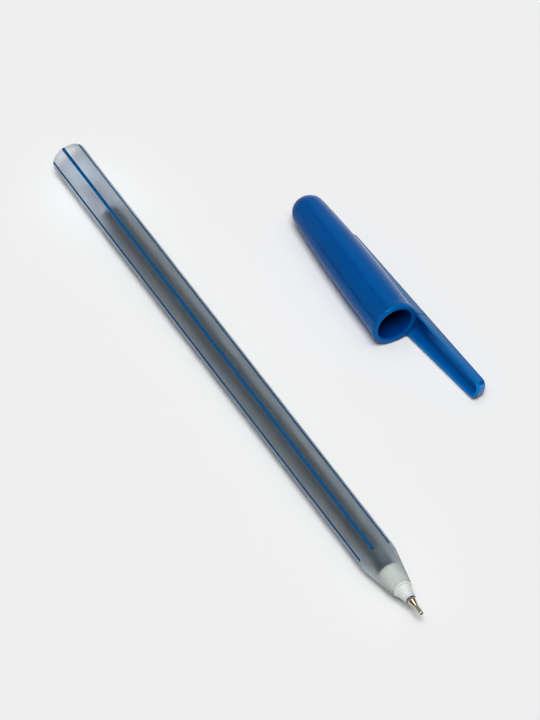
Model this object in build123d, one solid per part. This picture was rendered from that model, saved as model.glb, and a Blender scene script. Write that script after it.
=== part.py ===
from build123d import *

import os
from math import asin, atan2, cos, degrees, hypot, radians, sqrt

# A stick ballpoint pen that lies on its side, with its cap taken off and laid beside it.
# Millimetres, +Z up. The pen lies along X with its writing tip towards +X, and the cap lies on its +Y side.
# The origin is on the surface that the pen lies on, under the middle of the whole layout.

# Barrel: a thick-walled extruded tube whose front end is turned to a cone
barrel_diameter = 7.7
barrel_bore_diameter = 3.4
barrel_straight_length = 129.2
nose_cone_length = 8.6
nose_mouth_diameter = 4.2
shoulder_round = 2.0
rear_edge_round = 0.25
mouth_edge_round = 0.12

# Stripes: thin coloured strips, extruded flush into the barrel's skin and cut off where the nose is turned
stripe_count = 6
stripe_width = 0.65
stripe_depth = 0.2
stripe_first_angle = -21.4
stripe_longest_angle = -6.0
stripe_uneven_cut = 1.2

# Refill tube with its ink, and the grease slug that follows the ink down the tube
tube_outer_diameter = 2.6
tube_inner_diameter = 2.1
tube_length = 126.4
tube_empty_length = 4.2
follower_length = 6.4
meniscus_sag = 0.4
liquid_film_gap = 0.01

# Tip holder: a moulded plug with a shank for the barrel's bore, a socket in it for the tube, a collar and a cone
shank_length = 5.0
shank_running_clearance = 0.05
tube_socket_depth = 2.6
collar_diameter = 4.0
collar_length = 0.45
collar_edge_round = 0.12
holder_cone_base_diameter = 3.4
holder_cone_front_diameter = 2.15
holder_cone_length = 2.75
holder_channel_diameter = 1.0
holder_recess_diameter = 1.9
holder_recess_depth = 0.25
press_gap = 0.01

# Writing tip: a turned metal point with a stepped ink bore and a lip that is swaged over the ball
tip_shank_diameter = 1.5
tip_shank_length = 4.5
tip_base_diameter = 1.65
tip_base_length = 0.9
tip_cone_length = 1.4
tip_neck_diameter = 0.88
tip_neck_length = 2.0
tip_lip_diameter = 0.86
tip_lip_bevel = 0.08
tip_ink_bore_diameter = 0.9
tip_feed_diameter = 0.36
tip_feed_length = 2.9
ball_diameter = 0.7
ball_seat_clearance = 0.015
ball_centre_depth = 0.12

# Cap shell: a bullet with a beaded mouth, a sliding bore for the barrel and a tapered inner end
cap_body_length = 41.1
cap_body_diameter = 10.0
cap_nose_radius = 3.8
cap_straight_length = 8.0
cap_bead_diameter = 10.3
cap_bead_length = 0.9
cap_bead_fade = 1.5
cap_rim_round = 0.5
cap_inner_rim_round = 0.15
cap_bore_clearance = 0.1
cap_bore_length = 20.0
cap_mouth_flare = 0.08
cap_mouth_flare_length = 2.0
cap_cavity_depth = 37.5
cap_cavity_end_diameter = 4.6

# Clip: a fin on the shell that runs on past the mouth as a trough-shaped arm; heights are from the cap's axis
fin_length = 31.0
fin_ramp_length = 3.0
fin_start_height = 4.0
fin_height = 6.28
fin_start_width = 1.8
clip_arm_length = 21.85
clip_mouth_width = 5.92
clip_end_width = 4.0
clip_end_height = 9.3
clip_thickness = 2.05
clip_end_slant = 0.65
clip_end_round = 1.7
clip_edge_round = 0.2
clip_inner_edge_round = 0.3
trough_mouth_depth = 1.6
trough_end_depth = 1.3
trough_rim_width = 0.5
trough_end_margin = 0.7

# Where the cap lies beside the pen
cap_mouth_from_rear = 78.1
cap_axis_from_pen_axis = 34.5
cap_turn = -2.24

# Places along the pen's axis, from its rear end
barrel_radius = barrel_diameter / 2
bore_radius = barrel_bore_diameter / 2
mouth_x = barrel_straight_length + nose_cone_length
shank_rear_x = mouth_x - shank_length
tube_front_x = shank_rear_x + tube_socket_depth
tube_rear_x = tube_front_x - tube_length
follower_rear_x = tube_rear_x + tube_empty_length
ink_rear_x = follower_rear_x + follower_length
collar_front_x = mouth_x + collar_length
holder_front_x = collar_front_x + holder_cone_length
tip_seat_x = holder_front_x - holder_recess_depth
tip_rear_x = tip_seat_x - tip_shank_length
tip_cone_x = tip_seat_x + tip_base_length
neck_x = tip_cone_x + tip_cone_length
lip_x = neck_x + tip_neck_length
ball_x = lip_x - ball_centre_depth
feed_rear_x = ball_x - tip_feed_length

# Radii and runs of the cap that follow from its sizes
clip_inner_length = clip_arm_length + clip_end_slant
cap_radius = cap_body_diameter / 2
bead_radius = cap_bead_diameter / 2
cap_bore_radius = barrel_radius + cap_bore_clearance
cap_mouth_radius = cap_bore_radius + cap_mouth_flare
nose_centre = cap_body_length - cap_nose_radius
ogive_run = nose_centre - cap_straight_length
ogive_radius = (ogive_run**2 / (cap_radius - cap_nose_radius) + cap_radius + cap_nose_radius) / 2


def turned(*points, rounds=()):
    """A solid turned about X from (along the axis, radius) points, with some of its corners rounded."""
    profile = make_face(Polyline(*points, close=True))
    for corner, radius in rounds:
        nearest = profile.vertices().sort_by_distance((*corner, 0))[0]
        profile = fillet(nearest, radius)
    return revolve(profile, Axis.X)


def barrel_blank():
    rear_edge = (0, barrel_radius)
    shoulder = (barrel_straight_length, barrel_radius)
    mouth_edge = (mouth_x, nose_mouth_diameter / 2)
    return turned(
        (0, bore_radius), rear_edge, shoulder, mouth_edge, (mouth_x, bore_radius),
        rounds=[(rear_edge, rear_edge_round), (shoulder, shoulder_round), (mouth_edge, mouth_edge_round)],
    )


def stripe_bar(angle):
    """A bar half sunk in the barrel's skin, at an angle from straight up towards +Y."""
    short_by = stripe_uneven_cut * (1 - cos(radians(angle - stripe_longest_angle)))
    bar = Box(
        barrel_straight_length - short_by, stripe_width, 2 * stripe_depth,
        align=(Align.MIN, Align.CENTER, Align.CENTER),
    )
    return Rot(X=-angle) * Pos(0, 0, barrel_radius) * bar


def make_barrel_and_stripes():
    blank = barrel_blank()
    bars = [stripe_bar(stripe_first_angle + k * 360 / stripe_count) for k in range(stripe_count)]
    made = {"barrel": blank - bars}
    for k, bar in enumerate(bars):
        made[f"stripe_{k + 1}"] = blank & bar
    return made


def make_refill_tube():
    inner_radius = tube_inner_diameter / 2
    outer_radius = tube_outer_diameter / 2
    return turned(
        (tube_rear_x, inner_radius), (tube_rear_x, outer_radius),
        (tube_front_x, outer_radius), (tube_front_x, inner_radius),
    )


def make_ink():
    """The column in the tube, its thread through the holder's channel and the fill of the tip's ink bore."""
    column = tube_inner_diameter / 2 - liquid_film_gap
    channel = holder_channel_diameter / 2 - liquid_film_gap
    tip_bore = tip_ink_bore_diameter / 2 - liquid_film_gap
    column_front_x = tube_front_x - liquid_film_gap
    thread_front_x = tip_rear_x - liquid_film_gap
    rear_apex = (ink_rear_x - meniscus_sag, 0)
    with BuildSketch() as profile:
        with BuildLine():
            TangentArc(rear_apex, (ink_rear_x, column), tangent=(0, 1))
            Polyline(
                (ink_rear_x, column), (column_front_x, column), (column_front_x, channel),
                (thread_front_x, channel), (thread_front_x, tip_bore), (feed_rear_x, tip_bore),
                (feed_rear_x, 0), rear_apex,
            )
        make_face()
    return revolve(profile.sketch, Axis.X)


def make_ink_follower():
    radius = tube_inner_diameter / 2 - liquid_film_gap
    front_x = ink_rear_x - liquid_film_gap
    front_apex = (front_x - meniscus_sag, 0)
    rear_apex = (follower_rear_x - meniscus_sag, 0)
    with BuildSketch() as profile:
        with BuildLine():
            TangentArc(rear_apex, (follower_rear_x, radius), tangent=(0, 1))
            Line((follower_rear_x, radius), (front_x, radius))
            TangentArc(front_apex, (front_x, radius), tangent=(0, 1))
            Line(front_apex, rear_apex)
        make_face()
    return revolve(profile.sketch, Axis.X)


def make_tip_holder():
    shank_radius = bore_radius - shank_running_clearance
    collar_edge = (collar_front_x, collar_diameter / 2)
    channel_radius = holder_channel_diameter / 2
    tube_socket_radius = tube_outer_diameter / 2 + press_gap
    tip_socket_radius = tip_shank_diameter / 2 + press_gap
    return turned(
        (shank_rear_x, tube_socket_radius), (shank_rear_x, shank_radius), (mouth_x, shank_radius),
        (mouth_x, collar_diameter / 2), collar_edge, (collar_front_x, holder_cone_base_diameter / 2),
        (holder_front_x, holder_cone_front_diameter / 2), (holder_front_x, holder_recess_diameter / 2),
        (tip_seat_x, holder_recess_diameter / 2), (tip_seat_x, tip_socket_radius),
        (tip_rear_x, tip_socket_radius), (tip_rear_x, channel_radius),
        (tube_front_x, channel_radius), (tube_front_x, tube_socket_radius),
        rounds=[(collar_edge, collar_edge_round)],
    )


def make_writing_tip():
    shank_radius = tip_shank_diameter / 2
    ink_bore_radius = tip_ink_bore_diameter / 2
    feed_radius = tip_feed_diameter / 2
    base_radius = tip_base_diameter / 2
    lip_radius = tip_lip_diameter / 2
    body = turned(
        (tip_rear_x, ink_bore_radius), (tip_rear_x, shank_radius), (tip_seat_x, shank_radius),
        (tip_seat_x, base_radius), (tip_cone_x, base_radius), (neck_x, tip_neck_diameter / 2),
        (lip_x - tip_lip_bevel, lip_radius), (lip_x, lip_radius - tip_lip_bevel / 2),
        (lip_x, feed_radius), (feed_rear_x, feed_radius), (feed_rear_x, ink_bore_radius),
    )
    return body - Pos(ball_x, 0, 0) * Sphere(ball_diameter / 2 + ball_seat_clearance)


def make_ball():
    return Pos(ball_x, 0, 0) * Sphere(ball_diameter / 2)


def bullet_blank():
    """The cap's outside as a solid, with its mouth at x = 0 and its nose towards -X."""
    rim_inner = (0, bead_radius - cap_rim_round)
    bead_front = (-cap_rim_round, bead_radius)
    bead_rear = (-cap_bead_length, bead_radius)
    bead_foot = (-cap_bead_length - cap_bead_fade, cap_radius)
    ogive_start = (-cap_straight_length, cap_radius)
    reach = cap_nose_radius / (ogive_radius - cap_nose_radius)
    ogive_end = (-nose_centre - reach * ogive_run, reach * (ogive_radius - cap_radius))
    with BuildSketch() as profile:
        with BuildLine():
            Line((0, 0), rim_inner)
            TangentArc(rim_inner, bead_front, tangent=(0, 1))
            Polyline(bead_front, bead_rear, bead_foot, ogive_start)
            ogive = TangentArc(ogive_start, ogive_end, tangent=(-1, 0))
            TangentArc(ogive_end, (-cap_body_length, 0), tangent=ogive % 1)
            Line((-cap_body_length, 0), (0, 0))
        make_face()
    return revolve(profile.sketch, Axis.X)


def cap_cavity():
    """The space inside the cap: a rounded and flared mouth, the sliding bore and a taper to its blind end."""
    rim_edge = (0, cap_mouth_radius + cap_inner_rim_round)
    flare_start = (-cap_inner_rim_round, cap_mouth_radius)
    flare_end = (-cap_mouth_flare_length, cap_bore_radius)
    bore_end = (-cap_bore_length, cap_bore_radius)
    blind_edge = (-cap_cavity_depth, cap_cavity_end_diameter / 2)
    with BuildSketch() as profile:
        with BuildLine():
            Line((0, 0), rim_edge)
            TangentArc(rim_edge, flare_start, tangent=(0, -1))
            Polyline(flare_start, flare_end, bore_end, blind_edge, (-cap_cavity_depth, 0), (0, 0))
        make_face()
    return revolve(profile.sketch, Axis.X)


def clip_blank():
    """Fin and arm as the space that their side view and their top view share."""
    side_view = make_face(Polyline(
        (-fin_length, 0), (-fin_length, fin_start_height), (fin_ramp_length - fin_length, fin_height),
        (0, fin_height), (clip_arm_length, clip_end_height),
        (clip_inner_length, clip_end_height - clip_thickness), (0, fin_height - clip_thickness), (0, 0),
        close=True,
    ))
    half_views = [(-fin_length, fin_start_width / 2), (0, clip_mouth_width / 2),
                  (clip_inner_length, clip_end_width / 2)]
    mirrored = [(x, -half) for x, half in reversed(half_views)]
    top_view = make_face(Polyline(*half_views, *mirrored, close=True))
    side_solid = extrude(side_view, clip_mouth_width, both=True)
    top_solid = extrude(Rot(X=90) * top_view, -(fin_height + clip_end_height))
    blank = side_solid & top_solid
    end_edges = blank.faces().sort_by(Axis.X)[-1].edges()
    end_corners = end_edges.filter_by(lambda edge: abs(edge.center().Z) > clip_end_width / 4)
    blank = fillet(end_corners, min(clip_end_round, 0.45 * clip_end_width))
    outer_faces = blank.faces().filter_by(lambda face: face.normal_at().Y > 0.7)
    outer_edges = outer_faces.edges()
    rims = [edge for edge in outer_edges if outer_edges.count(edge) == 1 and edge.center().X > -fin_length]
    blank = fillet(rims, clip_edge_round)
    inner_face = blank.faces().filter_by(lambda face: face.normal_at().Y < -0.7).sort_by(Axis.X)[-1]
    inner_rims = inner_face.edges().filter_by(lambda edge: edge.center().X > 1)
    return fillet(inner_rims, clip_inner_edge_round)


def clip_trough():
    """A tapered round-ended cutter that scoops the arm's inner face and leaves a rim along both sides."""
    rise = clip_end_height - fin_height
    slope = hypot(clip_arm_length, rise)
    along = Vector(clip_arm_length, rise) / slope
    inward = Vector(along.Y, -along.X)
    rim_start = Vector(0, fin_height - clip_thickness)
    half_mouth = clip_mouth_width / 2 - trough_rim_width
    half_end = clip_end_width / 2 - trough_rim_width
    start_radius = (half_mouth**2 + trough_mouth_depth**2) / (2 * trough_mouth_depth)
    end_radius = (half_end**2 + trough_end_depth**2) / (2 * trough_end_depth)
    run = slope + clip_end_slant - trough_end_margin - half_end
    start = rim_start + inward * (start_radius - trough_mouth_depth)
    end = rim_start + along * run + inward * (end_radius - trough_end_depth)
    axis = end - start
    cone = Cone(start_radius, end_radius, axis.length, align=(Align.CENTER, Align.CENTER, Align.MIN))
    scoop = Plane(start, z_dir=axis) * cone + Pos(end) * Sphere(end_radius)
    in_front = Box(2 * slope, 2 * slope, 2 * slope, align=(Align.MIN, Align.CENTER, Align.CENTER))
    return scoop & in_front


def make_cap():
    """The whole cap about its own axis, with its mouth at x = 0 and its clip towards +Y."""
    outside = bullet_blank() + clip_blank()
    return outside - cap_cavity() - clip_trough()


def lay_down(cap):
    """Rest the cap on its bead, its bullet side and its clip, where it lies beside the pen."""
    touch = sqrt(cap_straight_length**2 + 2 * ogive_radius * (bead_radius - cap_radius))
    tilt = (touch - cap_straight_length) / ogive_radius
    droops = []
    for x, height, width in ((0, fin_height, clip_mouth_width),
                             (clip_arm_length, clip_end_height, clip_end_width)):
        reach = hypot(height, width / 2)
        axis_height = bead_radius + x * tilt
        droops.append(asin(min(1, axis_height / reach)) - atan2(width / 2, height))
    turned_down = Rot(Z=cap_turn) * Rot(Y=-degrees(tilt)) * Rot(X=-degrees(min(droops))) * cap
    lift = -turned_down.bounding_box().min.Z
    return Pos(cap_mouth_from_rear, cap_axis_from_pen_axis, lift) * turned_down


pen = make_barrel_and_stripes()
pen["refill_tube"] = make_refill_tube()
pen["ink"] = make_ink()
pen["ink_follower"] = make_ink_follower()
pen["tip_holder"] = make_tip_holder()
pen["writing_tip"] = make_writing_tip()
pen["ball"] = make_ball()

laid_out = {name: Pos(0, 0, barrel_radius) * piece for name, piece in pen.items()}
laid_out["cap"] = lay_down(make_cap())

# The layout is centred over the origin
boxes = [piece.bounding_box() for piece in laid_out.values()]
middle_x = (min(box.min.X for box in boxes) + max(box.max.X for box in boxes)) / 2
middle_y = (min(box.min.Y for box in boxes) + max(box.max.Y for box in boxes)) / 2
parts = {name: Pos(-middle_x, -middle_y, 0) * piece for name, piece in laid_out.items()}

os.makedirs("parts", exist_ok=True)
for name, piece in parts.items():
    export_step(piece, f"parts/{name}.step")
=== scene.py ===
from math import cos, radians, sin

import bmesh
import bpy
from mathutils import Euler, Matrix, Vector


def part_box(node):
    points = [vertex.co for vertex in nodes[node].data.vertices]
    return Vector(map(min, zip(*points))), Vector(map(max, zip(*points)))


# A stick ballpoint pen on a pale table, with its cap taken off and laid beside it.
# Metres, +Z up. The pen lies along X with its writing tip towards +X, and the cap lies on its +Y side.

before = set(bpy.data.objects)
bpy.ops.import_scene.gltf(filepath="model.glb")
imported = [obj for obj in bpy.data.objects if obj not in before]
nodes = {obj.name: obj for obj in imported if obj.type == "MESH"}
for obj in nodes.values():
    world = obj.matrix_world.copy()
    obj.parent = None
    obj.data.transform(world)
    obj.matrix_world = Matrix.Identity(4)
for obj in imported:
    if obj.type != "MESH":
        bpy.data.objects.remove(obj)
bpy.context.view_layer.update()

MM = 0.001

# Where the pen and its cap lie
barrel_low, barrel_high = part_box("barrel")
PEN_REAR_X = barrel_low.x
PEN_AXIS_Y = (barrel_low.y + barrel_high.y) / 2
PEN_AXIS_Z = (barrel_low.z + barrel_high.z) / 2
CAP_MOUTH = Vector((5.46 * MM, 15.0079 * MM, 5.1623 * MM))
CAP_TURN = Euler((radians(-22.648), radians(-0.8131), radians(-2.24)), "XYZ")

# Places along the pen from its rear end, and sizes across it
FOLLOWER_REAR = 13.2 * MM
INK_REAR = 19.6 * MM
SHOULDER = 129.2 * MM
NOSE_MOUTH = barrel_high.x - PEN_REAR_X
HOLDER_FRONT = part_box("tip_holder")[1].x - PEN_REAR_X
BARREL_RADIUS = (barrel_high.z - barrel_low.z) / 2
STRIPE_FIRST_TURN = radians(-21.4)
STRIPE_SPACING = radians(60)
HOLDER_RECESS_RADIUS = 0.95 * MM
HOLDER_SPECK = (139.85 * MM, 0.388 * MM, 1.27 * MM)
SCUFF_ALONG = SHOULDER + 1.5 * MM

# Cap and clip, in the cap's own frame from its mouth
CAP_BORE_RADIUS = 3.95 * MM
FIN_HALF_WIDTH = 2.96 * MM
FIN_WIDENING = 0.0665
ARM_NARROWING = 0.0427
ARM_INNER_HEIGHT = 4.23 * MM
ARM_RISE = 0.1382
ARM_RIM_WIDTH = 0.5 * MM
TROUGH_SHADE_LINE = -0.8 * MM
SEAM_ACROSS = (0.676, 0.737)
SEAM_PLACE = 0.4 * MM
CRACK_PLACE = 0.2 * MM
CRACK_SLANT = 0.3

# Colours of the barrel and its stripes
FROST = (0.85, 0.91, 0.94)
FROST_BESIDE_STRIPE = (0.62, 0.82, 0.95)
# Painted shade at the barrel's rear end and at its mouth edge
FROST_SHADE_AT_REAR = (0.62, 0.67, 0.7)
FROST_SHADE_AT_MOUTH = (0.36, 0.39, 0.41)
FROST_GLOSS = (0.1, 0.35, 0.6)
STRIPE_DEEP = (0.002, 0.068, 0.2)
STRIPE_PALE = (0.004, 0.08, 0.225)

# Painted glow, standing in for light held in the plastic of barrel and clip, and painted highlights on the
# scuffs
NO_GLOW = (0.0, 0.0, 0.0)
GLOW_BEHIND_INK = (0.1, 0.1, 0.12)
GLOW_BESIDE_STRIPE = (0.07, 0.12, 0.17)
GLOW_OF_SCUFFS = (0.14, 0.155, 0.16)
GLOW_IN_TROUGH = (0.0, 0.04, 0.125)

# Colours of the cap
CAP_GLOSS = (0.0, 0.55, 1.0)
SHELL_DEEP = (0.0, 0.067, 0.285)
SHELL_EVEN = (0.0, 0.073, 0.3)
# Among the cap's colours: painted shading on the shell, painted shade, reflection and glow in the trough,
# and painted light on the rims and the low flank
SHELL_PAINTED_LIT_SIDE = (0.0, 0.086, 0.34)
SHELL_SEAM_SHADE = (0.0, 0.045, 0.24)
SHELL_PAINTED_LOW_SIDE = (0.0, 0.105, 0.4)
BORE_SHADE = (0.0, 0.038, 0.215)
TROUGH_SHADE_AT_MOUTH = (0.0, 0.04, 0.215)
TROUGH_AT_END = (0.0, 0.066, 0.29)
TROUGH_WALL_REFLECTION = (0.05, 0.2, 0.52)
TROUGH_SHADE = (0.0, 0.01, 0.06)
MOUTH_RIM_LIGHT = (0.0, 0.12, 0.42)
ARM_RIM_LIGHT = (0.0, 0.15, 0.47)
FLANK_AT_MOUTH = (0.08, 0.175, 0.36)
FLANK_AT_END = (0.005, 0.135, 0.43)
FLANK_PAINTED_BOUNCE = (0.3, 0.45, 0.7)
CRACK = (0.0, 0.012, 0.06)

# Colours of the refill
HOLDER_DEEP = (0.7, 0.755, 0.73)
HOLDER_PALE = (0.74, 0.79, 0.765)
# Painted shade on the holder inside the nose, and painted shade with ink in its front recess
HOLDER_SHADE_IN_NOSE = (0.68, 0.69, 0.635)
HOLDER_INK_STAIN = (0.35, 0.36, 0.62)
HOLDER_RECESS_SHADE_AND_INK = (0.02, 0.015, 0.06)
SPECK = (0.08, 0.09, 0.1)
NICKEL_SILVER = (0.6, 0.54, 0.4)
BALL_METAL = (0.07, 0.055, 0.055)
INK_DEEP = (0.004, 0.012, 0.02)
INK_PALE = (0.008, 0.018, 0.028)
GREASE = (0.76, 0.74, 0.86)
TUBE = (0.92, 0.94, 0.95)

# Part of the noise's range that unevenness is made from
NOISE_MIDDLE = (0.3, 0.7)

# Camera, as the photograph was taken
VIEW_AZIMUTH = radians(60.09)
VIEW_ELEVATION = radians(47.19)
VIEW_DISTANCE = 856.8 * MM
FOCAL_PIXELS = 4000.0
PICTURE_WIDTH = 540
PICTURE_HEIGHT = 720
REAR_END_PIXEL = (68.82, 157.54)
SENSOR_WIDTH = 36.0
NEAREST_SEEN = 0.01
FARTHEST_SEEN = 50.0

# Light: a soft lamp above that leans to the camera, and fill from overhead
LAMP_LIGHT = 2.13
LAMP_WIDTH = radians(26)
LAMP_TOWARDS = Vector((0.36, -0.2, 1))
FILL_LIGHT = 0.99
FILL_FOCUS = 4.0

# The room that gloss shows: dim, with a bright panel overhead and paler walls
PANEL_LIGHT = 2.6
PANEL_EDGE = (0.92, 0.97)
DIM_ROOM_LIGHT = 0.12
BACK_WALL_LIGHT = 0.3
BACK_WALL_EDGE = (-0.6, -0.25)
FAR_WALL_LIGHT = 0.36
FAR_WALL_EDGE = (0.0, 0.2)
FAR_WALL_TOP = (0.0, 0.5)

# Backdrop and table; gloss sees the table dimmer, apart from round the writing tip and beyond the cap
BACKGROUND_TONE = 0.863
TABLE_TONE = 0.9
TABLE_TONE_IN_GLOSS = 0.46
TABLE_REACH = 6.0
TIP_SURROUND = (10 * MM, 40 * MM)
CAP_SIDE_EDGE = (16 * MM, 22 * MM)


class Nodes:
    """A node tree with short ways to add nodes and join them."""

    def __init__(self, tree):
        self.tree = tree

    def add(self, kind, **settings):
        node = self.tree.nodes.new(kind)
        for key, value in settings.items():
            setattr(node, key, value)
        return node

    def join(self, source, target):
        self.tree.links.new(source, target)

    def feed(self, socket, value):
        """A constant is set on the socket, and an output is joined to it."""
        if isinstance(value, tuple) and socket.type == "RGBA":
            socket.default_value = (*value, 1)
        elif isinstance(value, (int, float, tuple)):
            socket.default_value = value
        else:
            self.join(value, socket)

    def split(self, vector):
        node = self.add("ShaderNodeSeparateXYZ")
        self.join(vector, node.inputs["Vector"])
        return node.outputs["X"], node.outputs["Y"], node.outputs["Z"]

    def maths(self, operation, *values):
        node = self.add("ShaderNodeMath", operation=operation)
        for socket, value in zip(node.inputs, values):
            self.feed(socket, value)
        return node.outputs["Value"]

    def vector_maths(self, operation, *values, output="Vector"):
        node = self.add("ShaderNodeVectorMath", operation=operation)
        for socket, value in zip(node.inputs, values):
            self.feed(socket, value)
        return node.outputs[output]

    def span(self, value, low, high, to_low=0.0, to_high=1.0, smooth=False):
        node = self.add("ShaderNodeMapRange", interpolation_type="SMOOTHSTEP" if smooth else "LINEAR")
        self.join(value, node.inputs["Value"])
        node.inputs["From Min"].default_value = low
        node.inputs["From Max"].default_value = high
        node.inputs["To Min"].default_value = to_low
        node.inputs["To Max"].default_value = to_high
        return node.outputs["Result"]

    def times(self, *shares):
        product = shares[0]
        for share in shares[1:]:
            product = self.maths("MULTIPLY", product, share)
        return product

    def distance(self, first, second):
        """How far apart two values are."""
        return self.maths("ABSOLUTE", self.maths("SUBTRACT", first, second))


class Shader(Nodes):
    """A material's nodes round its Principled shader."""

    def __init__(self, name):
        self.material = bpy.data.materials.new(name)
        self.material.use_nodes = True
        super().__init__(self.material.node_tree)
        self.principled = self.tree.nodes["Principled BSDF"]

    def set(self, **values):
        for key, value in values.items():
            self.feed(self.principled.inputs[key.replace("_", " ")], value)

    def group(self, tree):
        return self.add("ShaderNodeGroup", node_tree=tree).outputs

    def uneven(self, scale, detail=3.0, stretch=(1, 1, 1)):
        node = self.add("ShaderNodeGroup", node_tree=unevenness)
        node.inputs["Scale"].default_value = scale
        node.inputs["Detail"].default_value = detail
        node.inputs["Stretch"].default_value = stretch
        return node.outputs

    def vary(self, uneven, low, high):
        return self.span(uneven["Share"], 0.0, 1.0, low, high)

    def blend(self, share, first, second):
        node = self.add("ShaderNodeMix", data_type="RGBA")
        self.feed(node.inputs["Factor"], share)
        self.feed(node.inputs["A"], first)
        self.feed(node.inputs["B"], second)
        return node.outputs["Result"]

    def bump(self, height, strength, distance):
        node = self.add("ShaderNodeBump")
        node.inputs["Strength"].default_value = strength
        node.inputs["Distance"].default_value = distance
        self.join(height, node.inputs["Height"])
        self.join(node.outputs["Normal"], self.principled.inputs["Normal"])


def make_group(name, outputs, inputs=()):
    tree = bpy.data.node_groups.new(name, "ShaderNodeTree")
    for given, kind in inputs:
        tree.interface.new_socket(given, in_out="INPUT", socket_type=kind)
    for output in outputs:
        tree.interface.new_socket(output, in_out="OUTPUT", socket_type="NodeSocketFloat")
    return Nodes(tree), tree.nodes.new("NodeGroupOutput")


def make_unevenness():
    """Noise over the surface as it is, and its middle range drawn out to run from 0 to 1."""
    inputs = (("Scale", "NodeSocketFloat"), ("Detail", "NodeSocketFloat"), ("Stretch", "NodeSocketVector"))
    build, result = make_group("unevenness", ("Raw", "Share"), inputs)
    given = build.add("NodeGroupInput").outputs
    place = build.add("ShaderNodeTexCoord").outputs["Object"]
    noise = build.add("ShaderNodeTexNoise")
    build.join(given["Scale"], noise.inputs["Scale"])
    build.join(given["Detail"], noise.inputs["Detail"])
    build.join(build.vector_maths("MULTIPLY", place, given["Stretch"]), noise.inputs["Vector"])
    build.join(noise.outputs["Fac"], result.inputs["Raw"])
    build.join(build.span(noise.outputs["Fac"], *NOISE_MIDDLE), result.inputs["Share"])
    return build.tree


def make_pen_places():
    """Metres along the pen from its rear end and out from its axis, and the turn from +Z towards +Y."""
    build, result = make_group("pen_places", ("Along", "Outwards", "Turn"))
    place = build.add("ShaderNodeTexCoord").outputs["Object"]
    from_rear = build.vector_maths("SUBTRACT", place, (PEN_REAR_X, PEN_AXIS_Y, PEN_AXIS_Z))
    across = build.vector_maths("MULTIPLY", from_rear, (0, 1, 1))
    x, y, z = build.split(from_rear)
    build.join(x, result.inputs["Along"])
    build.join(build.vector_maths("LENGTH", across, output="Value"), result.inputs["Outwards"])
    build.join(build.maths("ARCTAN2", y, z), result.inputs["Turn"])
    return build.tree


def make_cap_places():
    """Metres in the cap's own frame: along from its mouth, out to the clip, and up the clip's width."""
    build, result = make_group("cap_places", ("Along", "Outwards", "Upwards"))
    own = build.add("ShaderNodeMapping", vector_type="TEXTURE")
    own.inputs["Location"].default_value = CAP_MOUTH
    own.inputs["Rotation"].default_value = CAP_TURN
    build.join(build.add("ShaderNodeTexCoord").outputs["Object"], own.inputs["Vector"])
    for value, socket in zip(build.split(own.outputs["Vector"]), result.inputs):
        build.join(value, socket)
    return build.tree


unevenness = make_unevenness()
pen_places = make_pen_places()
cap_places = make_cap_places()


def skin_turn(arc):
    """The turn about the pen's axis that an arc on the barrel's skin spans."""
    return arc / BARREL_RADIUS


def frost_tone(shader, along, from_stripe):
    beside_stripe = shader.span(from_stripe, skin_turn(0.33 * MM), skin_turn(0.8 * MM), 0.6, 0, True)
    before_shoulder = shader.span(along, SHOULDER - 1 * MM, SHOULDER, 1, 0)
    tone = shader.blend(shader.times(beside_stripe, before_shoulder), FROST, FROST_BESIDE_STRIPE)
    # Painted shade darkens the barrel's first few millimetres from its rear end
    rear_shade = shader.span(along, 0, 3 * MM, 0.6, 0, True)
    tone = shader.blend(rear_shade, tone, FROST_SHADE_AT_REAR)
    # Painted shade darkens a thin band at the barrel's mouth, where it meets the holder's collar
    mouth_edge_shade = shader.span(along, NOSE_MOUTH - 0.2 * MM, NOSE_MOUTH - 0.05 * MM, 0, 0.6)
    return shader.blend(mouth_edge_shade, tone, FROST_SHADE_AT_MOUTH)


def frost_glow(shader, along, turn, from_stripe):
    """Painted glow behind the ink and beside the stripes on the lit side, standing in for light held in the
    frosting, and a painted highlight where the scuffs catch the lamp.
    """
    lit_side = shader.span(shader.distance(turn, STRIPE_FIRST_TURN), radians(15), radians(85), 1, 0, True)
    short_of_ink = shader.span(along, INK_REAR - 3 * MM, INK_REAR + 3 * MM, 1, 0, True)
    glow = shader.blend(shader.times(short_of_ink, lit_side), NO_GLOW, GLOW_BEHIND_INK)
    stripe_edge = shader.span(from_stripe, skin_turn(0.3 * MM), skin_turn(0.6 * MM), 1, 0, True)
    towards_rear = shader.span(along, INK_REAR, INK_REAR + 12 * MM, 1, 0.15)
    glow = shader.blend(shader.times(stripe_edge, towards_rear, lit_side), glow, GLOW_BESIDE_STRIPE)
    streaks = shader.span(shader.uneven(2000, 2, (1, 0.12, 0.12))["Raw"], 0.46, 0.56)
    near_scuff = shader.span(shader.distance(along, SCUFF_ALONG), 0.8 * MM, 2.2 * MM, 1, 0)
    past_first_turn = shader.span(turn, radians(-18), radians(-14))
    short_of_last_turn = shader.span(turn, radians(-4), radians(6), 1, 0)
    scuff_highlight = shader.times(streaks, near_scuff, past_first_turn, short_of_last_turn)
    return shader.blend(scuff_highlight, glow, GLOW_OF_SCUFFS)


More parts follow.
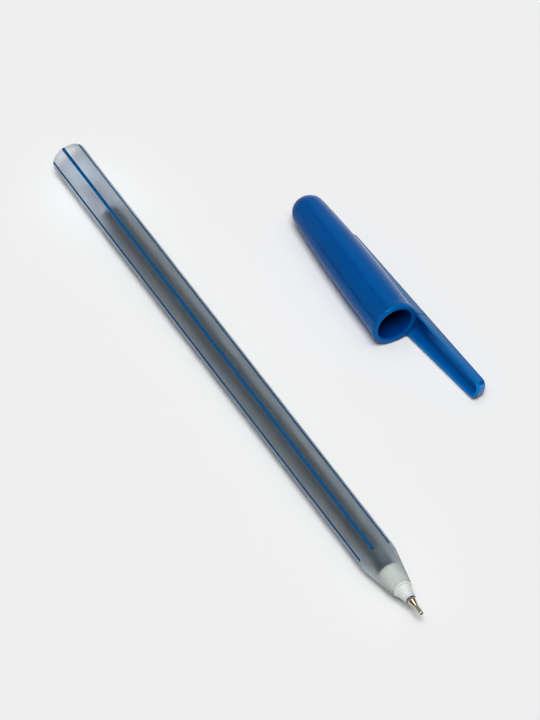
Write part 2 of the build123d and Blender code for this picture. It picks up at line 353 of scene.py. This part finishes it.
def frosted_barrel():
    shader = Shader("frosted_barrel")
    shader.set(IOR=1.5, Transmission_Weight=0.985, Specular_Tint=FROST_GLOSS)
    place = shader.group(pen_places)
    along, turn = place["Along"], place["Turn"]
    from_first_stripe = shader.maths("SUBTRACT", turn, STRIPE_FIRST_TURN)
    from_stripe = shader.maths("PINGPONG", from_first_stripe, STRIPE_SPACING / 2)
    shader.set(Base_Color=frost_tone(shader, along, from_stripe))
    shader.set(Emission_Color=frost_glow(shader, along, turn, from_stripe), Emission_Strength=1.0)
    grain = shader.uneven(900, 3, (0.05, 1, 1))
    shader.set(Roughness=shader.vary(grain, 0.46, 0.54))
    # The bore's wall is clear, so that only the barrel's outside is frosted
    outer_skin = shader.span(place["Outwards"], 1.8 * MM, 1.9 * MM)
    rear_end = shader.span(along, 0, 1.5 * MM, 0.85, 1, True)
    shader.set(Alpha=shader.times(outer_skin, rear_end))
    on_cone = shader.span(along, SHOULDER - 0.3 * MM, SHOULDER + 0.3 * MM)
    turning = shader.times(shader.uneven(2600, 2, (1, 0.03, 0.03))["Raw"], on_cone)
    shader.bump(shader.maths("ADD", grain["Raw"], turning), 0.04, 0.05 * MM)
    return shader.material


def stripe_colour():
    shader = Shader("stripe_colour")
    shader.set(Roughness=0.5, Specular_IOR_Level=0.08)
    drawn = shader.uneven(600, 2, (0.02, 1, 1))
    shader.set(Base_Color=shader.blend(drawn["Share"], STRIPE_DEEP, STRIPE_PALE))
    return shader.material


def cap_shell_tone(shader, outwards, upwards):
    """A mould seam runs along the shell; painted shading makes the shell lighter on one side of it and
    darker along it, and painted light makes it lighter low down on the other side.
    """
    flow = shader.span(shader.uneven(120, 3)["Raw"], 0.35, 0.65)
    tone = shader.blend(flow, SHELL_DEEP, SHELL_EVEN)
    across = shader.maths("MULTIPLY_ADD", outwards, SEAM_ACROSS[0],
                          shader.maths("MULTIPLY", upwards, SEAM_ACROSS[1]))
    painted_lit_side = shader.span(across, 0.5 * MM, 1.8 * MM, smooth=True)
    tone = shader.blend(painted_lit_side, tone, SHELL_PAINTED_LIT_SIDE)
    seam_shade = shader.span(shader.distance(across, SEAM_PLACE), 0.05 * MM, 0.6 * MM, 0.4, 0, True)
    tone = shader.blend(seam_shade, tone, SHELL_SEAM_SHADE)
    painted_low_side = shader.span(across, -4.8 * MM, -2.8 * MM, 1, 0, True)
    return shader.blend(painted_low_side, tone, SHELL_PAINTED_LOW_SIDE)


def shade_cap_bore(shader, along, outwards, upwards, tone):
    axis_distance = shader.maths("SQRT", shader.maths("ADD", shader.maths("POWER", outwards, 2.0),
                                                      shader.maths("POWER", upwards, 2.0)))
    in_wall = shader.span(axis_distance, CAP_BORE_RADIUS + 0.05 * MM, CAP_BORE_RADIUS + 0.1 * MM, 1, 0)
    before_taper = shader.span(along, -19 * MM, -17 * MM)
    behind_rim = shader.span(along, -0.6 * MM, -0.3 * MM, 1, 0)
    return shader.blend(shader.times(in_wall, before_taper, behind_rim), tone, BORE_SHADE)


def shade_cap_trough(shader, along, outwards, upwards, short_of_flank, tone):
    """Painted shade darkens the trough, most near the mouth and along a line on its floor; a painted
    reflection lightens its upper wall, and a painted glow lights that wall as if light soaked through the
    clip.
    """
    inside_rim = shader.span(short_of_flank, 0.8 * ARM_RIM_WIDTH, ARM_RIM_WIDTH)
    out_of_bead = shader.span(outwards, 4.4 * MM, 4.8 * MM)
    past_mouth = shader.span(along, -0.3 * MM, 0.0)
    off_lower_wall = shader.span(upwards, -1.8 * MM, 0.0, 0.2, 1)
    in_trough = shader.times(inside_rim, out_of_bead, past_mouth, off_lower_wall)
    clear_of_mouth = shader.span(along, 2 * MM, 9 * MM)
    to_end = shader.span(along, 1 * MM, 20 * MM)
    trough_tone = shader.blend(to_end, TROUGH_SHADE_AT_MOUTH, TROUGH_AT_END)
    upper_wall_reflection = shader.times(shader.span(upwards, 0.3 * MM, 1.4 * MM), clear_of_mouth)
    trough_tone = shader.blend(upper_wall_reflection, trough_tone, TROUGH_WALL_REFLECTION)
    from_shade_line = shader.distance(upwards, TROUGH_SHADE_LINE)
    floor_shade = shader.span(from_shade_line, 0.2 * MM, 0.8 * MM, 0.5, 0, True)
    trough_tone = shader.blend(floor_shade, trough_tone, TROUGH_SHADE)
    above_shade = shader.span(upwards, TROUGH_SHADE_LINE, TROUGH_SHADE_LINE + 0.9 * MM)
    trough_glow = shader.times(in_trough, clear_of_mouth, above_shade)
    shader.set(Emission_Color=shader.blend(trough_glow, NO_GLOW, GLOW_IN_TROUGH), Emission_Strength=1.0)
    return shader.blend(in_trough, tone, trough_tone)


def light_cap_rims(shader, along, outwards, tone):
    """The thin rims of the mouth and of the clip are painted lighter, standing in for light soaking through
    them.
    """
    behind_mouth = shader.span(along, -0.7 * MM, -0.2 * MM)
    short_of_arm = shader.span(along, 0.05 * MM, 0.1 * MM, 1, 0)
    away_from_clip = shader.span(outwards, 1.0 * MM, 3.5 * MM, 0.8, 0.1)
    tone = shader.blend(shader.times(behind_mouth, short_of_arm, away_from_clip), tone, MOUTH_RIM_LIGHT)
    inner_face = shader.maths("MULTIPLY_ADD", along, ARM_RISE, ARM_INNER_HEIGHT)
    into_arm = shader.maths("SUBTRACT", outwards, inner_face)
    at_inner_face = shader.span(into_arm, 0.12 * MM, 0.35 * MM, 1, 0)
    on_arm = shader.span(along, 0.3 * MM, 0.6 * MM)
    return shader.blend(shader.times(at_inner_face, on_arm, 0.9), tone, ARM_RIM_LIGHT)


def crack_across_flanks(shader, along, outwards, flank):
    """A fine, slanted and wandering crack at the cap's mouth."""
    above_arm_foot = shader.maths("SUBTRACT", outwards, ARM_INNER_HEIGHT)
    crack_line = shader.maths("MULTIPLY_ADD", above_arm_foot, CRACK_SLANT, CRACK_PLACE)
    wander = shader.vary(shader.uneven(900, 2), -0.1 * MM, 0.1 * MM)
    from_line = shader.maths("ADD", shader.maths("SUBTRACT", along, crack_line), wander)
    from_crack = shader.maths("ABSOLUTE", from_line)
    return shader.times(flank, shader.span(from_crack, 0.08 * MM, 0.16 * MM, 1, 0))


def cap_blue():
    shader = Shader("cap_blue")
    shader.set(IOR=1.45, Specular_Tint=CAP_GLOSS)
    place = shader.group(cap_places)
    along, outwards, upwards = place["Along"], place["Outwards"], place["Upwards"]
    half_width = shader.maths("MINIMUM", shader.maths("MULTIPLY_ADD", along, FIN_WIDENING, FIN_HALF_WIDTH),
                              shader.maths("MULTIPLY_ADD", along, -ARM_NARROWING, FIN_HALF_WIDTH))
    short_of_flank = shader.maths("SUBTRACT", half_width, shader.maths("ABSOLUTE", upwards))

    tone = cap_shell_tone(shader, outwards, upwards)
    tone = shade_cap_bore(shader, along, outwards, upwards, tone)
    tone = shade_cap_trough(shader, along, outwards, upwards, short_of_flank, tone)
    tone = light_cap_rims(shader, along, outwards, tone)

    # The flanks of fin and clip are matt and paler; the low flank is painted lighter still, standing in for
    # light bounced up from the table
    at_flank = shader.span(short_of_flank, 0.03 * MM, 0.12 * MM, 1, 0)
    flank = shader.times(at_flank, shader.span(outwards, 4.4 * MM, 4.6 * MM))
    flank_tone = shader.blend(shader.span(along, 1 * MM, 20 * MM), FLANK_AT_MOUTH, FLANK_AT_END)
    low_flank_bounce = shader.span(upwards, -1 * MM, 1 * MM, 1, 0)
    flank_tone = shader.blend(low_flank_bounce, flank_tone, FLANK_PAINTED_BOUNCE)
    tone = shader.blend(flank, tone, flank_tone)
    crack = crack_across_flanks(shader, along, outwards, flank)
    shader.set(Base_Color=shader.blend(crack, tone, CRACK))

    polish = shader.vary(shader.uneven(700, 4), 0.04, 0.09)
    shader.set(Roughness=shader.maths("MULTIPLY_ADD", flank, 0.25, polish))
    shader.bump(shader.uneven(260, 2)["Raw"], 0.05, 0.05 * MM)
    return shader.material


def holder_white():
    shader = Shader("holder_white")
    shader.set(Roughness=0.42, Subsurface_Weight=0.15, Subsurface_Scale=0.3 * MM)
    place = shader.group(pen_places)
    along, outwards = place["Along"], place["Outwards"]
    tone = shader.blend(shader.uneven(500, 3)["Share"], HOLDER_DEEP, HOLDER_PALE)
    # Painted shade darkens the holder where it sits inside the barrel's nose
    in_nose_shade = shader.span(along, NOSE_MOUTH - 0.6 * MM, NOSE_MOUTH, 1, 0)
    tone = shader.blend(in_nose_shade, tone, HOLDER_SHADE_IN_NOSE)
    stain = shader.span(along, HOLDER_FRONT - 0.7 * MM, HOLDER_FRONT - 0.05 * MM, 0, 0.4)
    tone = shader.blend(stain, tone, HOLDER_INK_STAIN)
    # Painted shade, together with ink, darkens the recess at the holder's front round the writing tip
    in_hole = shader.span(outwards, HOLDER_RECESS_RADIUS, HOLDER_RECESS_RADIUS + 0.06 * MM, 1, 0)
    at_front = shader.span(along, HOLDER_FRONT - 0.4 * MM, HOLDER_FRONT - 0.3 * MM)
    tone = shader.blend(shader.times(in_hole, at_front), tone, HOLDER_RECESS_SHADE_AND_INK)
    speck_place = (PEN_REAR_X + HOLDER_SPECK[0], PEN_AXIS_Y + HOLDER_SPECK[1], PEN_AXIS_Z + HOLDER_SPECK[2])
    surface = shader.add("ShaderNodeTexCoord").outputs["Object"]
    from_speck = shader.vector_maths("DISTANCE", surface, speck_place, output="Value")
    speck = shader.span(from_speck, 0.06 * MM, 0.12 * MM, 0.8, 0)
    shader.set(Base_Color=shader.blend(speck, tone, SPECK))
    return shader.material


def turned_nickel_silver():
    shader = Shader("turned_nickel_silver")
    shader.set(Base_Color=NICKEL_SILVER, Metallic=1.0)
    rings = shader.uneven(9000, 2, (1, 0.02, 0.02))
    shader.set(Roughness=shader.vary(rings, 0.06, 0.14))
    shader.bump(rings["Raw"], 0.1, 0.01 * MM)
    return shader.material


def polished_ball():
    shader = Shader("polished_ball")
    shader.set(Base_Color=BALL_METAL, Metallic=1.0)
    shader.set(Roughness=shader.vary(shader.uneven(6000, 2), 0.05, 0.1))
    return shader.material


def dark_ink():
    """The column's rear end fades in, so that it is seen to begin a little nearer to the tip."""
    shader = Shader("dark_ink")
    shader.set(Roughness=0.35, Specular_IOR_Level=0.15)
    cloud = shader.uneven(300, 2, (0.2, 1, 1))
    shader.set(Base_Color=shader.blend(cloud["Share"], INK_DEEP, INK_PALE))
    along = shader.group(pen_places)["Along"]
    shader.set(Alpha=shader.span(along, INK_REAR + 0.4 * MM, INK_REAR + 1.4 * MM))
    return shader.material


def violet_grease():
    shader = Shader("violet_grease")
    shader.set(Base_Color=GREASE, IOR=1.45, Transmission_Weight=0.7)
    along = shader.group(pen_places)["Along"]
    shader.set(Alpha=shader.span(along, FOLLOWER_REAR, INK_REAR, 0, 0.6))
    shader.set(Roughness=shader.vary(shader.uneven(400, 2), 0.25, 0.35))
    return shader.material


def milky_tube():
    """Only the tube's outer wall is milky, and it fades in with the ink."""
    shader = Shader("milky_tube")
    shader.set(Base_Color=TUBE, IOR=1.45, Transmission_Weight=0.97)
    shader.set(Roughness=shader.vary(shader.uneven(700, 2, (0.05, 1, 1)), 0.08, 0.14))
    place = shader.group(pen_places)
    outer_wall = shader.span(place["Outwards"], 1.12 * MM, 1.2 * MM)
    beside_ink = shader.span(place["Along"], INK_REAR, INK_REAR + 3 * MM, smooth=True)
    shader.set(Alpha=shader.times(outer_wall, beside_ink))
    return shader.material


def table_white():
    shader = Shader("table_white")
    shader.set(Roughness=0.9, Specular_IOR_Level=0.0)
    path = shader.add("ShaderNodeLightPath").outputs
    in_gloss = shader.maths("GREATER_THAN", path["Is Glossy Ray"], path["Is Transmission Ray"])
    under_tip = (PEN_REAR_X + HOLDER_FRONT, PEN_AXIS_Y, 0.0)
    place = shader.add("ShaderNodeTexCoord").outputs["Object"]
    from_tip = shader.vector_maths("DISTANCE", place, under_tip, output="Value")
    away_from_tip = shader.span(from_tip, *TIP_SURROUND)
    short_of_cap_side = shader.span(shader.split(place)[1], *CAP_SIDE_EDGE, 1, 0)
    dimmed = shader.times(in_gloss, away_from_tip, short_of_cap_side)
    shader.set(Base_Color=shader.blend(dimmed, (TABLE_TONE,) * 3, (TABLE_TONE_IN_GLOSS,) * 3))
    return shader.material


def dress(node_names, material):
    for name in node_names:
        nodes[name].data.materials.clear()
        nodes[name].data.materials.append(material)


def lay_table():
    mesh = bpy.data.meshes.new("table")
    build = bmesh.new()
    bmesh.ops.create_grid(build, x_segments=1, y_segments=1, size=TABLE_REACH)
    build.to_mesh(mesh)
    build.free()
    table = bpy.data.objects.new("table", mesh)
    bpy.context.scene.collection.objects.link(table)
    mesh.materials.append(table_white())


def light_room():
    """Gloss shows a dim room, see-through pieces show the backdrop, and the rest gets fill from overhead."""
    world = bpy.data.worlds.new("light_room")
    world.use_nodes = True
    bpy.context.scene.world = world
    world.node_tree.nodes.clear()
    room = Nodes(world.node_tree)

    def shine(strength, tone=1.0):
        node = room.add("ShaderNodeBackground")
        node.inputs["Color"].default_value = (tone, tone, tone, 1)
        room.feed(node.inputs["Strength"], strength)
        return node.outputs["Background"]

    def choose(share, first, second):
        node = room.add("ShaderNodeMixShader")
        room.join(share, node.inputs["Fac"])
        room.join(first, node.inputs[1])
        room.join(second, node.inputs[2])
        return node.outputs["Shader"]

    x, y, z = room.split(room.add("ShaderNodeTexCoord").outputs["Generated"])
    overhead = room.maths("POWER", room.maths("MAXIMUM", z, 0.0), FILL_FOCUS)
    fill = shine(room.times(overhead, FILL_LIGHT))
    panel = room.span(z, *PANEL_EDGE, DIM_ROOM_LIGHT, PANEL_LIGHT, True)
    back_wall = room.span(x, *BACK_WALL_EDGE, BACK_WALL_LIGHT, 0)
    below_wall_top = room.span(z, *FAR_WALL_TOP, FAR_WALL_LIGHT, 0, True)
    far_wall = room.times(room.span(y, *FAR_WALL_EDGE), below_wall_top)
    gloss = shine(room.maths("ADD", panel, room.maths("ADD", back_wall, far_wall)))
    path = room.add("ShaderNodeLightPath").outputs
    seen = room.maths("MAXIMUM", path["Is Camera Ray"], path["Is Transmission Ray"])
    in_gloss = choose(path["Is Glossy Ray"], fill, gloss)
    behind = choose(seen, in_gloss, shine(1.0, BACKGROUND_TONE))
    room.join(behind, room.add("ShaderNodeOutputWorld").inputs["Surface"])


def hang_lamp():
    lamp = bpy.data.lights.new("lamp", "SUN")
    lamp.energy = LAMP_LIGHT
    lamp.angle = LAMP_WIDTH
    holder = bpy.data.objects.new("lamp", lamp)
    holder.rotation_euler = LAMP_TOWARDS.to_track_quat("Z", "Y").to_euler()
    bpy.context.scene.collection.objects.link(holder)


def set_camera():
    """The camera is placed so that the barrel's rear end falls on its pixel."""
    back = Vector((sin(VIEW_AZIMUTH) * cos(VIEW_ELEVATION), -cos(VIEW_AZIMUTH) * cos(VIEW_ELEVATION),
                   sin(VIEW_ELEVATION)))
    right = Vector((cos(VIEW_AZIMUTH), sin(VIEW_AZIMUTH), 0))
    up = back.cross(right)
    rear_end = Vector((PEN_REAR_X, PEN_AXIS_Y, PEN_AXIS_Z))
    across = (REAR_END_PIXEL[0] - PICTURE_WIDTH / 2) / FOCAL_PIXELS * VIEW_DISTANCE
    down = (REAR_END_PIXEL[1] - PICTURE_HEIGHT / 2) / FOCAL_PIXELS * VIEW_DISTANCE
    place = rear_end + back * VIEW_DISTANCE - right * across + up * down
    lens = bpy.data.cameras.new("camera")
    lens.sensor_fit = "AUTO"
    lens.sensor_width = SENSOR_WIDTH
    lens.lens = SENSOR_WIDTH * FOCAL_PIXELS / PICTURE_HEIGHT
    lens.clip_start = NEAREST_SEEN
    lens.clip_end = FARTHEST_SEEN
    camera = bpy.data.objects.new("camera", lens)
    camera.matrix_world = Matrix.Translation(place) @ Matrix((right, up, back)).transposed().to_4x4()
    bpy.context.scene.collection.objects.link(camera)
    bpy.context.scene.camera = camera


dress(["barrel"], frosted_barrel())
dress([f"stripe_{k}" for k in range(1, 7)], stripe_colour())
dress(["cap"], cap_blue())
dress(["tip_holder"], holder_white())
dress(["writing_tip"], turned_nickel_silver())
dress(["ball"], polished_ball())
dress(["ink"], dark_ink())
dress(["ink_follower"], violet_grease())
dress(["refill_tube"], milky_tube())
lay_table()
light_room()
hang_lamp()
set_camera()
bpy.context.scene.view_settings.view_transform = "Standard"
